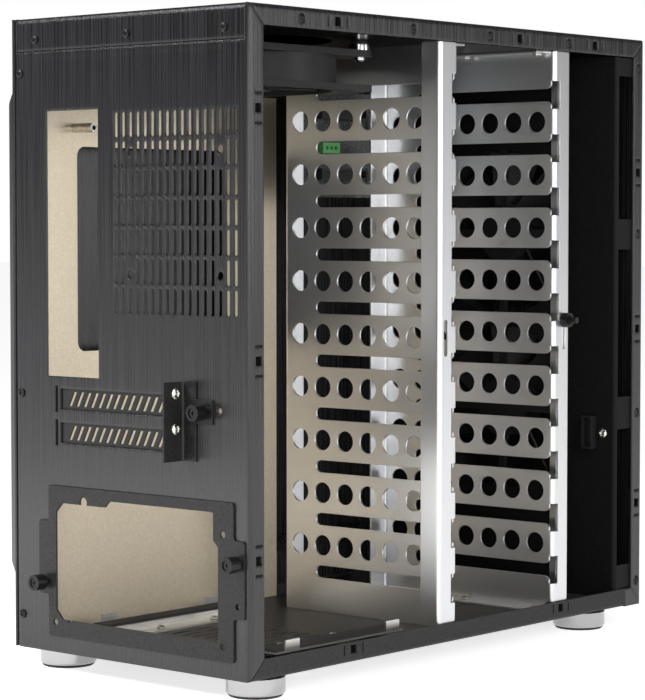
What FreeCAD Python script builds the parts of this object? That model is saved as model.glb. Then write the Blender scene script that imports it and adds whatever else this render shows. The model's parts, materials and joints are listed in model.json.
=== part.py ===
import FreeCAD
import Part
import math
import os

Vector = FreeCAD.Vector
X, Y, Z = Vector(1, 0, 0), Vector(0, 1, 0), Vector(0, 0, 1)

# The case is drawn with x from its closed side, y from its rear face and z from its underside.
# place() then turns it so that the front faces -Y and stands it on its feet.

# Overall size, in millimetres
width = 193.6
depth = 394.3
height = 382.0

# Sheet metal
sheet = 1.2
inner_sheet = 1.2
bend = 1.5
flange = 12.0
seat = 0.1
gap = 0.3
fold = sheet + bend + gap

# Top lip, roof and floor
lip = 19.6
lip_screw_drop = 12.8
lip_screw_pitch = width * 0.402
roof_drop = 12.2
floor_rise = 5.4
floor_rim = 9.5
return_depth = 19.3
joggle_side = 14.0
joggle_height = 29.5

roof_z = height - roof_drop
floor_z = floor_rise + sheet
roof_y = 2 * sheet + gap
lip_z = height - lip

# Screws that hold the flanges, and the closed side's rear screws
flange_screw_drop = 6.5
flange_screw_y = [depth * part for part in (0.1129, 0.3698, 0.5638, 0.7789)]
front_screw_inset = 6.3
rear_screw_x = 5.6
rear_screw_z = [height * part for part in (0.0534, 0.4079, 0.9144)]
small_shank = 1.4
small_head = 2.6
small_head_height = 1.2
screw_clear = 0.3

# Panel clips behind the flanges, hooked into two slits each
clip_length = 18.8
clip_breadth = 7.0
clip_depth = 5.0
clip_socket = 5.2
clip_slit = 1.3
clip_slit_length = 6.0
clip_slit_offset = 8.4
clip_hook = 0.5
clip_inset = 7.8
clip_top_drop = 6.5
clip_top_y = [depth * part for part in (0.194, 0.6434, 0.8537)]
clip_bottom_y = [depth * part for part in (0.2298, 0.7624)]
clip_rear_z = [height * part for part in (0.1793, 0.4751, 0.8469)]
clip_front_z = [height * part for part in (0.1825, 0.4916, 0.7673)]

# Thumbscrews
thumb_shank = 1.5
thumb_collar = 3.3
thumb_collar_length = 2.2
thumb_head = 4.7
thumb_head_length = 8.0
thumb_bite = 5.0
thumb_rim = 0.6

# Supply bracket on the rear panel
bracket_width = 152.2
bracket_z = 9.8
bracket_height = 91.5
ear_width = 8.4
ear_z = 35.2
ear_height = 44.6
ear_round = 2.0
ear_share = 0.878
bracket_x = ear_width + (width - bracket_width - 2 * ear_width) * ear_share
bracket_top = bracket_z + bracket_height
supply_x = bracket_x + 6.6
supply_width = 133.6
supply_z = 20.6
supply_height = 74.3
supply_corner = 5.5
supply_step = 3.8
supply_step_drop = 16.0
supply_left_drop = 3.9
supply_left_width = 42.0
supply_round = 1.0
rear_opening_inset = 2.4
supply_hole_radius = 2.0
supply_hole_x = bracket_x + 5.9
supply_hole_z = 18.6
supply_hole_span = 138.0
supply_hole_rise = 64.0
left_thumb_x = bracket_x - 2.6
left_thumb_z = 42.5
right_thumb_x = bracket_x + 156.0
right_thumb_z = 67.0
spare_hole_x = bracket_x + 155.4
spare_hole_radius = 1.8
top_notch_x = bracket_x + 30.2
top_notch_rise = 1.6
top_notch_radius = 3.0
low_notch_x = bracket_x + 18.0
low_notch_radius = 1.2

# Board group on the rear panel, between the supply bracket and the lip
group_height = 203.15
group_share = 0.37
clamp_z = bracket_top + (lip_z - bracket_top - group_height) * group_share
io_width = 44.45
io_height = 158.75
io_x = 28.3
io_z = clamp_z + 44.4
io_right = io_x + io_width

# Rear vent with its fan holes
vent_rows = 7
vent_margin = 8.0
vent_share = 0.5185
vent_slot_width = 3.0
vent_slot_length = 15.0
vent_row_pitch = 17.1
fan_hole_spacing = 71.5
fan_hole_cols = 12
fan_hole_rows = 4
fan_hole_radius = 2.5
vent_col_pitch = fan_hole_spacing / fan_hole_cols
vent_cols = 2 * int((width - io_right - 2 * vent_margin) / (2 * vent_col_pitch)) + 1
vent_fan_x = io_right + (width - io_right) * vent_share
vent_fan_z = io_z + 97.8

# Card slots, covers and clamp
card_slot_x = 39.6
card_slot_height = 12.3
card_slot_pitch = 20.32
card_slot_low = clamp_z + 10.7
card_slot_z = [card_slot_low, card_slot_low + card_slot_pitch]
card_cover_sheet = 0.9
card_cover_width = 18.42
card_cover_lap = 6.6
card_tab_reach = 11.4
card_tab_below = 5.5
card_tab_above = 12.5
card_vents = 14
card_vent_pitch = 6.2
card_vent_width = 2.6
card_vent_height = 8.6
card_vent_lean = 4.4
card_vent_x = 45.5
card_screw_rise = 8.1
card_screw_out = 8.0
hook_slot_offset = 4.4
hook_slot_width = 2.4
hook_slot_height = 15.6
clamp_x = 141.8
clamp_reach = 16.8
clamp_base = 11.2
clamp_height = 45.6
clamp_tongue = 13.0
clamp_tongue_height = 14.0
clamp_thumb_x = 159.8
clamp_thumb_z = card_slot_low + 18.1
extra_hole_x = 170.6
extra_hole_z = card_slot_low + 19.2
extra_hole_radius = 1.8

# Motherboard tray and standoffs
tray_x = 12.0
tray_flange = 7.5
tray_front_y = depth * 0.5706
tray_top_z = roof_z - 23.3
tray_step_y = 92.0
tray_step = 4.0
cutout_y = [41.0, 174.0]
cutout_z = [io_z + 12.4, io_z + 138.9]
cutout_round = 6.0
board_rear_y = 5.8
board_top_hole_z = io_z + 150.1
board_hole_span = 157.48
board_hole_y = [33.02, 165.1, 10.16, 165.1]
standoff_length = 17.4
standoff_radius = 2.9
standoff_hole = 1.5
standoff_hole_depth = 9.0

# Drive cage
bay_rear_y = depth * 0.48745
bay_width = 101.6
cage_near_x = width - 2.0
cage_far_x = cage_near_x - 140.5
cage_channel = 18.0
cage_lip = 14.5
cage_far_flange = 16.0
cage_foot = 13.0
cage_foot_x = [cage_far_x + 9.0, cage_near_x - 5.0]
drive_count = 10
drive_pitch = (roof_z - floor_z) * 0.09444
drive_first_z = floor_z + 26.35
drive_slot_height = 8.0
drive_slot_x = cage_near_x - 114.5
drive_flare = 5.0
drive_notch = 6.0
hole_count = 7
hole_pitch = 19.0
hole_radius = 6.7
hole_last_x = cage_near_x - 14.1
flange_hole_radius = 2.2
cage_screw_x = [cage_near_x - 68.5, cage_near_x - 10.6]
cage_screw_out = 4.5
cage_screw_head = 3.2
cage_screw_head_height = 2.0
cage_screw_length = 4.0

# Lock bar behind the front cage plate
lock_travel = 15.0
lock_slot_width = 3.8
lock_thumb_out = 11.6
lock_thumb_z = drive_first_z + drive_pitch * 4.75
lock_end = 6.0

# Backplane
backplane_sheet = 1.6
backplane_y_inset = 3.0
backplane_z = [roof_z - 93.8, roof_z - 23.8]
socket_z = [roof_z - 81.8, roof_z - 41.8]
socket_length = 46.0
socket_height = 7.0
socket_reach = 7.5
terminal_length = 17.0
terminal_y = bay_rear_y + 27.0
terminal_height = 7.0
terminal_z = roof_z - 64.8
terminal_reach = 9.0

# Fans
fan_screw_span = 105.0
fan_size = fan_screw_span + 15.0
fan_thick = 25.0
fan_corner = 7.0
fan_plate = 4.0
fan_bore = fan_size / 2 - 2.5
fan_barrel = fan_size / 2
fan_screw_hole = 2.2
fan_hub = 20.0
fan_hub_base = 3.0
fan_strut = 5.0
fan_pin = 2.0
fan_run = 0.06
blade_count = 7
blade_tip = fan_bore - 2.0
blade_root_chord = 22.0
blade_tip_chord = 34.0
blade_root_pitch = 52.0
blade_tip_pitch = 30.0
blade_sweep = 14.0
blade_thick = 1.4

# Roof fan and its shock mounts
roof_fan_y = 95.5
shock_rubber = 1.6
shock_collar = 4.0
shock_gap = shock_rubber + shock_collar
rubber_radius = 5.0
collar_radius = 6.5
post_head = 3.4
post_head_height = 2.6
post_reach = 3.0

# Front fans, their bracket and its side screws
front_fan_drop = 70.0
front_fan_space = 0.8
upper_fan_z = height - front_fan_drop - fan_size / 2
front_fan_z = [upper_fan_z - fan_size - front_fan_space, upper_fan_z]
front_bracket_y = depth - 30.3
bracket_tab = 26.5
bracket_tab_z = [[floor_z + 6.4, floor_z + 21.9], [front_fan_z[0] - 10.6, front_fan_z[0] + 11.0],
                 [front_fan_z[1] - 10.7, front_fan_z[1] + 9.5], [roof_z - 12.9, roof_z - 0.6]]
front_screw_z = [floor_z + 10.3, front_fan_z[0], front_fan_z[1], roof_z - 6.8]

# Front panel
button_radius = 7.0
button_proud = 1.0
button_travel = 1.5
button_z = height - 30.0
button_stem = 3.0
button_holder = 11.0
button_holder_depth = 9.0
port_width = 13.1
port_height = 5.7
port_depth = 14.0
port_wall = 0.5
port_offset = 14.0
port_z = height - 57.0
port_board_half = 30.0
front_slots = 9
front_slot_pitch = 11.0
front_slot_width = 4.0
front_slot_length = 92.0

# Lead block on the front bracket
lead_block_x = [width - 24.6, width - 16.6]
lead_block_z = [front_fan_z[0] - 24.2, front_fan_z[0] - 2.2]
lead_block_depth = 6.0
lead_screw_x = width - 10.6
lead_screw_z = front_fan_z[0] - 13.6

# Supply rails on the floor, with pads on their shelves
supply_body = 150.0
supply_left = bracket_x - seat
rail_y = [36.0, 151.0]
rail_shelf = 14.0
rail_shelf_z = floor_z + 3.4
rail_base = 16.5
rail_tab_y = [44.0, 136.0]
rail_tab_length = 12.5
rail_tab_height = 7.4
rail_screw_inset = 26.4
rail_screw_y = [69.5, 117.5]
rail_pad = 1.4

# Roof and floor vents
roof_vent_cols = 11
roof_vent_rows = 3
roof_vent_pitch = 9.0
roof_vent_width = 4.0
roof_vent_length = 28.0
floor_vent_cols = 9
floor_vent_rows = 3
floor_vent_pitch = 9.0
floor_vent_width = 3.0
floor_vent_length = 16.0
vent_bar = 4.0

# Feet
foot_radius = 17.35
foot_reach = 12.5
foot_hub = 7.5
foot_chamfer = 1.0
foot_pad = 1.6
foot_pad_radius = 16.2
foot_side = 18.8
foot_rear = 25.3
foot_front = 46.4

# Closed side panel
panel_proud = sheet + seat
panel_bulge = 12.0
panel_edge_y = 3.0
panel_low = 31.0
panel_high = height - 31.0
panel_slope_y = 5.0
panel_slope_z = 12.5
panel_round = 8.0
stud_radius = 1.6
stud_ball = 2.4
stud_length = 5.5

thumb_reach = thumb_collar_length + thumb_head_length
low_x = -panel_proud - panel_bulge
high_x = cage_near_x + seat + thumb_reach
low_y = -clamp_reach
high_y = depth + button_proud


def place(shape):
    """Turn the shape to face the front and put the base's centre at the origin."""
    placed = shape.copy()
    placed.translate(Vector(-(low_x + high_x) / 2, -(low_y + high_y) / 2, foot_reach))
    placed.rotate(Vector(0, 0, 0), Z, 180)
    return placed


def box(x0, x1, y0, y1, z0, z1):
    return Part.makeBox(x1 - x0, y1 - y0, z1 - z0, Vector(x0, y0, z0))


def rod(start, axis, radius, length):
    return Part.makeCylinder(radius, length, start, axis)


def unit(vector):
    return vector * (1.0 / vector.Length)


def rounded_wire(points, radii):
    """Closed wire through the corner points, each corner rounded to its radius."""
    count = len(points)
    leave = []
    arrive = []
    edges = []
    for i, corner in enumerate(points):
        back = unit(points[i - 1] - corner)
        ahead = unit(points[(i + 1) % count] - corner)
        half = back.getAngle(ahead) / 2
        reach = radii[i] / math.tan(half)
        arrive.append(corner + back * reach)
        leave.append(corner + ahead * reach)
        if radii[i] > 0:
            middle = unit(back + ahead)
            crown = corner + middle * (radii[i] / math.sin(half) - radii[i])
            edges.append((i, Part.Arc(arrive[i], crown, leave[i]).toShape()))
    for i in range(count):
        start, end = leave[i], arrive[(i + 1) % count]
        if start.distanceToPoint(end) > 1e-6:
            edges.append((i + 0.5, Part.LineSegment(start, end).toShape()))
    return Part.Wire([edge for order, edge in sorted(edges, key=lambda item: item[0])])


def prism(points, run, radii=0.0):
    if not isinstance(radii, list):
        radii = [radii] * len(points)
    return Part.Face(rounded_wire(points, radii)).extrude(run)


def folded(path, normal, run, thick):
    """Bent sheet: the path is its outer face, the metal lies to the path's left."""
    ways = [unit(b - a) for a, b in zip(path, path[1:])]
    lefts = [normal.cross(way) for way in ways]
    inside = [path[0] + lefts[0] * thick]
    outer_radii = [0.0]
    inner_radii = [0.0]
    for i in range(1, len(path) - 1):
        share = thick / (1 + lefts[i - 1].dot(lefts[i]))
        inside.append(path[i] + (lefts[i - 1] + lefts[i]) * share)
        turns_in = ways[i - 1].cross(ways[i]).dot(normal) > 0
        outer_radii.append(bend + thick if turns_in else bend)
        inner_radii.append(bend if turns_in else bend + thick)
    inside.append(path[-1] + lefts[-1] * thick)
    radii = outer_radii + [0.0] + [0.0] + inner_radii[::-1]
    return prism(path + inside[::-1], run, radii)


def obround(centre, along, length, breadth, run):
    """Slot with round ends, its long side along the given direction."""
    across = unit(run.cross(along))
    half = along * (length / 2 - breadth / 2)
    side = across * (breadth / 2)
    tip = along * (length / 2)
    edges = [
        Part.LineSegment(centre - half + side, centre + half + side).toShape(),
        Part.Arc(centre + half + side, centre + tip, centre + half - side).toShape(),
        Part.LineSegment(centre + half - side, centre - half - side).toShape(),
        Part.Arc(centre - half - side, centre - tip, centre - half + side).toShape(),
    ]
    return Part.Face(Part.Wire(edges)).extrude(run)


def mitre(y, z, toward_y, toward_z, upright):
    """Wedges that cut both side flanges along the 45 degree line from a corner of the side."""
    reach = flange + fold
    corners = [(-fold, gap - fold), (reach, reach + gap), (reach, gap - fold)]
    if not upright:
        corners = [(b, a) for a, b in corners]
    wedges = []
    for x in (-gap, width - fold):
        points = [Vector(x, y + a * toward_y, z + b * toward_z) for a, b in corners]
        wedges.append(prism(points, X * (fold + gap)))
    return wedges


def turned(profile, start, axis):
    """Turned piece: the profile lists (distance along the axis, radius) from one end to the other."""
    points = [Vector(0, 0, profile[0][0])]
    points += [Vector(radius, 0, along) for along, radius in profile]
    points.append(Vector(0, 0, profile[-1][0]))
    piece = Part.Face(Part.makePolygon(points + points[:1])).revolve(Vector(0, 0, 0), Z, 360)
    piece.Placement = FreeCAD.Placement(start, FreeCAD.Rotation(Z, axis))
    return piece


def pan_screw(seat_point, axis, shank, head, head_height, length):
    """Screw with its head's underside at the seat point and its head along the axis."""
    profile = [(-length, shank), (0.0, shank), (0.0, head), (head_height * 0.6, head), (head_height, head * 0.6)]
    return turned(profile, seat_point, axis)


def thumbscrew(seat_point, axis, bite):
    """Thumbscrew with its collar's underside at the seat point and its head along the axis."""
    end = thumb_collar_length + thumb_head_length
    profile = [
        (-bite, thumb_shank),
        (0.0, thumb_shank),
        (0.0, thumb_collar),
        (thumb_collar_length, thumb_collar),
        (thumb_collar_length, thumb_head - thumb_rim),
        (thumb_collar_length + thumb_rim, thumb_head),
        (end - thumb_rim, thumb_head),
        (end, thumb_head - thumb_rim),
    ]
    return turned(profile, seat_point, axis)


def clip_places():
    """Middle of each panel clip on a side frame: (y, z, whether it runs upright)."""
    top = [(y, height - clip_top_drop, False) for y in clip_top_y]
    low = [(y, clip_inset, False) for y in clip_bottom_y]
    rear = [(clip_inset, z, True) for z in clip_rear_z]
    front = [(depth - front_screw_inset, z, True) for z in clip_front_z]
    return top + low + rear + front


def clip_ends(place_at):
    """Middle of the two slits of a clip."""
    y, z, upright = place_at
    step_y = 0 if upright else clip_slit_offset
    step_z = clip_slit_offset if upright else 0
    return [(y + way * step_y, z + way * step_z, upright) for way in (-1, 1)]


def clip_box(place_at, x0, x1, length, breadth):
    y, z, upright = place_at
    half_y = (breadth if upright else length) / 2
    half_z = (length if upright else breadth) / 2
    return box(x0, x1, y - half_y, y + half_y, z - half_z, z + half_z)


def clip_windows():
    """Square socket and two slits of each clip, cut through both side frames' flanges."""
    cuts = []
    for spot in clip_places():
        for x0, x1 in ((-gap, sheet + gap), (width - sheet - gap, width + gap)):
            cuts.append(clip_box(spot, x0, x1, clip_socket, clip_socket))
            for end in clip_ends(spot):
                cuts.append(clip_box(end, x0, x1, clip_slit, clip_slit_length))
    return cuts


def clip_room():
    """Room for the clips' bodies behind the flanges."""
    size = (clip_length + 2 * gap, clip_breadth + 2 * gap)
    inner = sheet + seat + clip_depth + gap
    sides = ((-gap, inner), (width - inner, width + gap))
    return [clip_box(spot, x0, x1, *size) for spot in clip_places() for x0, x1 in sides]


def panel_clips():
    clips = []
    back = sheet + seat
    for spot in clip_places():
        for x0, x1, tip in ((back, back + clip_depth, gap), (width - back, width - back - clip_depth, width - gap)):
            low, high = sorted((x0, x1))
            body = clip_box(spot, low, high, clip_length, clip_breadth)
            low, high = sorted((tip, x0))
            hooks = [clip_box(end, low, high, clip_hook, clip_slit_length - 2 * gap) for end in clip_ends(spot)]
            socket = clip_box(spot, -gap, width + gap, clip_socket, clip_socket)
            clips.append(body.fuse(hooks).cut(socket))
    return Part.makeCompound(clips)


def side_screw_places():
    """Seats of the flange screws on one side frame: (y, z)."""
    top = [(y, height - flange_screw_drop) for y in flange_screw_y]
    front = [(depth - front_screw_inset, z) for z in front_screw_z]
    return top + front


def flange_screws():
    screws = []
    length = sheet + inner_sheet + 2 * seat + gap
    for y, z in side_screw_places():
        size = (small_shank, small_head, small_head_height, length)
        screws.append(pan_screw(Vector(width - small_head_height, y, z), X, *size))
        screws.append(pan_screw(Vector(small_head_height, y, z), -X, *size))
    return Part.makeCompound(screws)


def flange_screw_holes():
    holes = []
    for y, z in side_screw_places():
        for x, way in ((width + gap, -X), (-gap, X)):
            start = Vector(x, y, z)
            holes.append(rod(start, way, small_head + screw_clear, small_head_height + seat + gap))
            holes.append(rod(start, way, small_shank + screw_clear, floor_rim))
    return holes


def lip_screw_x():
    return [width / 2 + i * lip_screw_pitch for i in (-1, 0, 1)]


def rear_screw_places():
    """Seats of the screws on the rear face: (x, z)."""
    lip_row = [(x, height - lip_screw_drop) for x in lip_screw_x()]
    side_row = [(rear_screw_x, z) for z in rear_screw_z]
    return lip_row + side_row


def rear_screws():
    length = 2 * (sheet + seat)
    size = (small_shank, small_head, small_head_height, length)
    seats = [Vector(x, -seat, z) for x, z in rear_screw_places()]
    return Part.makeCompound([pan_screw(point, -Y, *size) for point in seats])


def rear_screw_holes():
    starts = [Vector(x, -gap, z) for x, z in rear_screw_places()]
    return [rod(start, Y, small_shank + screw_clear, floor_rim) for start in starts]


def vent_field():
    """Rear vent: upright slots, with four round fan holes in place of slots."""
    cuts = []
    run = Y * (sheet + 2 * gap)
    middle = Vector(vent_fan_x, -gap, vent_fan_z)
    half = fan_hole_spacing / 2
    for i in range(vent_cols):
        for j in range(vent_rows):
            col, row = i - vent_cols // 2, j - vent_rows // 2
            spot = middle + Vector(col * vent_col_pitch, 0, row * vent_row_pitch)
            if abs(col) != fan_hole_cols // 2 or abs(row) != fan_hole_rows // 2:
                cuts.append(obround(spot, Z, vent_slot_length, vent_slot_width, run))
    for x in (-half, half):
        for z in (-half, half):
            cuts.append(rod(middle + Vector(x, 0, z), Y, fan_hole_radius, sheet + 2 * gap))
    return cuts


def card_slot_cuts():
    """Card slots with a taller end for the covers' tabs, and a hook slot at the other end."""
    cuts = []
    half = card_slot_height / 2
    end_x = clamp_x - card_cover_sheet - bend - 2 * gap
    for z in card_slot_z:
        cuts.append(box(card_slot_x, clamp_x, -gap, sheet + gap, z - half, z + half))
        low, high = z - card_tab_below - 2 * gap, z + card_tab_above + gap
        cuts.append(box(end_x, clamp_x, -gap, sheet + gap, low, high))
        hook_x = card_slot_x - hook_slot_offset
        hook = hook_slot_height / 2
        cuts.append(box(hook_x, hook_x + hook_slot_width, -gap, sheet + gap, z - hook, z + hook))
    return cuts


def supply_outline(y, grow):
    """Corner points of the supply opening, grown by a margin on every side."""
    x0, x1 = supply_x - grow, supply_x + supply_width + grow
    z0, z1 = supply_z - grow, supply_z + supply_height + grow
    left_z = z1 - supply_left_drop
    left_x = supply_x + supply_left_width
    points = [
        (x0 + supply_corner, z0),
        (x1, z0),
        (x1, z1 - supply_step_drop - supply_step),
        (x1 - supply_step, z1 - supply_step_drop),
        (x1 - supply_step, z1),
        (left_x + supply_left_drop, z1),
        (left_x, left_z),
        (x0 + supply_corner, left_z),
        (x0, left_z - supply_corner),
        (x0, z0 + supply_corner),
    ]
    return [Vector(x, y, z) for x, z in points]


def supply_hole_places():
    right = supply_hole_x + supply_hole_span
    return [(supply_hole_x, supply_hole_z), (right, supply_hole_z), (right, supply_hole_z + supply_hole_rise)]


def bracket_thumb_places():
    return [(left_thumb_x, left_thumb_z), (right_thumb_x, right_thumb_z)]


def rear_panel():
    path = [Vector(0, flange, 0), Vector(0, 0, 0), Vector(width, 0, 0), Vector(width, flange, 0)]
    shell = folded(path, Z, Z * height, sheet)
    lip_space = box(fold, width - fold, -gap, sheet, lip_z - gap, height + gap)
    edges = mitre(0, height, 1, -1, True) + mitre(0, 0, 1, 1, True)
    strip = box(joggle_side, width - joggle_side, sheet, 2 * sheet, lip_z - sheet * 4, lip_z + joggle_height - lip)
    shell = shell.cut([lip_space] + edges).fuse(strip)
    through = sheet + 2 * gap
    io_cut = box(io_x, io_x + io_width, -gap, sheet + gap, io_z, io_z + io_height)
    inset = rear_opening_inset
    supply_cut = box(bracket_x + inset, bracket_x + bracket_width - inset, -gap, sheet + gap,
                     bracket_z + inset, bracket_z + bracket_height - inset)
    thumbs = bracket_thumb_places() + [(clamp_thumb_x, clamp_thumb_z)]
    holes = [rod(Vector(x, -gap, z), Y, thumb_shank + screw_clear, through) for x, z in thumbs]
    holes.append(rod(Vector(extra_hole_x, -gap, extra_hole_z), Y, extra_hole_radius, through))
    cuts = [io_cut, supply_cut] + holes + card_slot_cuts() + vent_field()
    return shell.cut(cuts + rear_screw_holes() + clip_windows())


def slot_rows(middle, cols, rows, pitch, breadth, length, run):
    """Field of slots along y, centred on a point, cut along the run."""
    cuts = []
    row_pitch = length + vent_bar
    for col in range(cols):
        for row in range(rows):
            x = (col - (cols - 1) / 2) * pitch
            y = (row - (rows - 1) / 2) * row_pitch
            cuts.append(obround(middle + Vector(x, y, 0), Y, length, breadth, run))
    return cuts


def top_cover():
    path = [Vector(0, 0, height - flange), Vector(0, 0, height),
            Vector(width, 0, height), Vector(width, 0, height - flange)]
    shell = folded(path, Y, Y * depth, sheet)
    lip_space = box(fold, width - fold, -gap, 2 * fold, height - sheet - gap, height + gap)
    lip_path = [Vector(fold, 2 * fold, height), Vector(fold, 0, height), Vector(fold, 0, lip_z)]
    lip_fold = folded(lip_path, X, X * (width - 2 * fold), sheet)
    shell = shell.cut([lip_space]).fuse(lip_fold)
    edges = mitre(0, height, 1, -1, False) + mitre(depth, height, -1, -1, False)
    vent = slot_rows(Vector(width / 2, roof_fan_y, height + gap), roof_vent_cols, roof_vent_rows,
                     roof_vent_pitch, roof_vent_width, roof_vent_length, Z * -(sheet + 2 * gap))
    return shell.cut(edges + vent + clip_windows() + flange_screw_holes() + rear_screw_holes())


def fan_screw_places():
    half = fan_screw_span / 2
    return [Vector(a * half, b * half, 0) for a in (-1, 1) for b in (-1, 1)]


def roof_plate():
    side = sheet + seat
    top = height - sheet - bend
    path = [Vector(side, roof_y, top), Vector(side, roof_y, roof_z),
            Vector(width - side, roof_y, roof_z), Vector(width - side, roof_y, top)]
    plate = folded(path, -Y, Y * (depth - sheet - bend - gap - roof_y), inner_sheet)
    middle = Vector(width / 2, roof_fan_y, roof_z - gap)
    through = inner_sheet + 2 * gap
    holes = [rod(middle + place_at, Z, fan_screw_hole, through) for place_at in fan_screw_places()]
    holes.append(rod(middle, Z, fan_bore, through))
    for web_y, into_bay in cage_sides():
        for x in cage_screw_x:
            start = Vector(x, web_y + into_bay * cage_screw_out, roof_z - gap)
            holes.append(rod(start, Z, small_shank + screw_clear, through))
    return plate.cut(holes + clip_room() + flange_screw_holes())


def foot_places():
    return [(x, y) for x in (foot_side, width - foot_side) for y in (foot_rear, depth - foot_front)]


def bottom_panel():
    path = [Vector(0, 0, flange), Vector(0, 0, 0), Vector(floor_rim, 0, 0), Vector(floor_rim, 0, floor_rise),
            Vector(width - floor_rim, 0, floor_rise), Vector(width - floor_rim, 0, 0),
            Vector(width, 0, 0), Vector(width, 0, flange)]
    shell = folded(path, -Y, Y * (depth - return_depth - gap), sheet)
    rear_space = box(fold, width - fold, -gap, sheet + seat, -gap, flange)
    cuts = [rear_space] + mitre(0, 0, 1, 1, False)
    run = Z * (sheet + 2 * gap)
    supply_middle = (supply_left + supply_body / 2, sum(rail_y) / 2)
    bay_middle = (width / 2, bay_rear_y + bay_width / 2)
    for x, y in (supply_middle, bay_middle):
        cuts += slot_rows(Vector(x, y, floor_rise - gap), floor_vent_cols, floor_vent_rows,
                          floor_vent_pitch, floor_vent_width, floor_vent_length, run)
    for web_y, into_bay in cage_sides():
        for x in cage_screw_x:
            start = Vector(x, web_y + into_bay * cage_screw_out, floor_rise - gap)
            cuts.append(rod(start, Z, small_shank + screw_clear, sheet + 2 * gap))
    for x, y in rail_screw_places():
        cuts.append(rod(Vector(x, y, floor_rise - gap), Z, small_shank + screw_clear, sheet + 2 * gap))
    return shell.cut(cuts + clip_windows())


def corner_slit(x0, x1):
    """Thin cut along the 45 degree fold line of the front panel's lower flange corner."""
    wide = gap * math.sqrt(2)
    points = [(fold, fold), (fold + wide, fold), (flange + wide, flange), (flange, flange)]
    return prism([Vector(x0, depth - a, b) for a, b in points], X * (x1 - x0))


def fan_slots(z):
    """Level intake slots in the front panel, centred on a fan."""
    cuts = []
    for i in range(front_slots):
        middle = Vector(width / 2, depth - sheet - gap, z + (i - (front_slots - 1) / 2) * front_slot_pitch)
        cuts.append(obround(middle, X, front_slot_length, front_slot_width, Y * (sheet + 2 * gap)))
    return cuts


def port_places():
    return [width / 2 - port_offset, width / 2 + port_offset]


def front_panel():
    path = [Vector(width, depth - flange, 0), Vector(width, depth, 0),
            Vector(0, depth, 0), Vector(0, depth - flange, 0)]
    shell = folded(path, Z, Z * height, sheet)
    top_space = box(fold, width - fold, depth - fold, depth + gap, height - sheet - seat, height + gap)
    low_space = box(fold, width - fold, depth - fold, depth + gap, -gap, fold)
    shell = shell.cut([top_space, low_space] + mitre(depth, height, -1, -1, True))
    seam = depth - return_depth
    return_path = [Vector(fold, seam, 0), Vector(fold, depth, 0), Vector(fold, depth, fold)]
    pieces = [folded(return_path, X, X * (width - 2 * fold), sheet)]
    for x0, x1, wall in ((0, fold, 0), (width - fold, width, width - sheet)):
        pieces.append(box(x0, x1, seam, depth - fold, 0, sheet))
        pieces.append(box(wall, wall + sheet, seam, depth - fold, 0, flange))
    shell = shell.fuse(pieces).removeSplitter()
    cuts = [corner_slit(-gap, sheet + gap), corner_slit(width - sheet - gap, width + gap)]
    for z in front_fan_z:
        cuts += fan_slots(z)
    cuts.append(rod(Vector(width / 2, depth - sheet - gap, button_z), Y, button_radius + gap, sheet + 2 * gap))
    for x in port_places():
        half_x, half_z = port_width / 2 + gap, port_height / 2 + gap
        cuts.append(box(x - half_x, x + half_x, depth - sheet - gap, depth + gap, port_z - half_z, port_z + half_z))
    return shell.cut(cuts + clip_windows() + flange_screw_holes())


def panel_ring(x, inset):
    """Rounded outline of the closed side's bulge at a given height, inset from its foot."""
    y0, y1 = panel_edge_y + inset * panel_slope_y, depth - panel_edge_y - inset * panel_slope_y
    z0, z1 = panel_low + inset * panel_slope_z, panel_high - inset * panel_slope_z
    corners = [Vector(x, y0, z0), Vector(x, y1, z0), Vector(x, y1, z1), Vector(x, y0, z1)]
    return rounded_wire(corners, [panel_round] * 4)


def side_panel():
    margin = box(-panel_proud, -seat, 0, depth, 0, height)
    outer = Part.makeLoft([panel_ring(-panel_proud, 0.0), panel_ring(low_x, 1.0)], True, True)
    skin = sheet / panel_slope_y
    sunk = sheet / panel_bulge
    inner = Part.makeLoft([panel_ring(gap, skin - sunk), panel_ring(low_x + sheet, 1.0 + skin - sunk)], True, True)
    return margin.fuse(outer).cut(inner).removeSplitter()


def panel_studs():
    neck = stud_length - 2 * stud_ball
    profile = [
        (0.0, stud_radius),
        (neck, stud_radius),
        (neck + stud_ball * 0.4, stud_ball * 0.9),
        (neck + stud_ball, stud_ball),
        (neck + stud_ball * 1.6, stud_ball * 0.8),
        (stud_length, stud_ball * 0.3),
    ]
    return Part.makeCompound([turned(profile, Vector(-seat, y, z), X) for y, z, upright in clip_places()])


def feet():
    hub_top = floor_rise - seat
    profile = [
        (foot_pad - foot_reach, foot_radius - foot_chamfer),
        (foot_pad - foot_reach + foot_chamfer, foot_radius),
        (-seat - foot_chamfer, foot_radius),
        (-seat, foot_radius - foot_chamfer),
        (-seat, foot_hub),
        (hub_top, foot_hub),
    ]
    return Part.makeCompound([turned(profile, Vector(x, y, 0), Z) for x, y in foot_places()])


def foot_pads():
    profile = [(-foot_reach, foot_pad_radius - foot_chamfer), (foot_chamfer - foot_reach, foot_pad_radius),
               (foot_pad - foot_reach - seat, foot_pad_radius)]
    return Part.makeCompound([turned(profile, Vector(x, y, 0), Z) for x, y in foot_places()])


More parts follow.
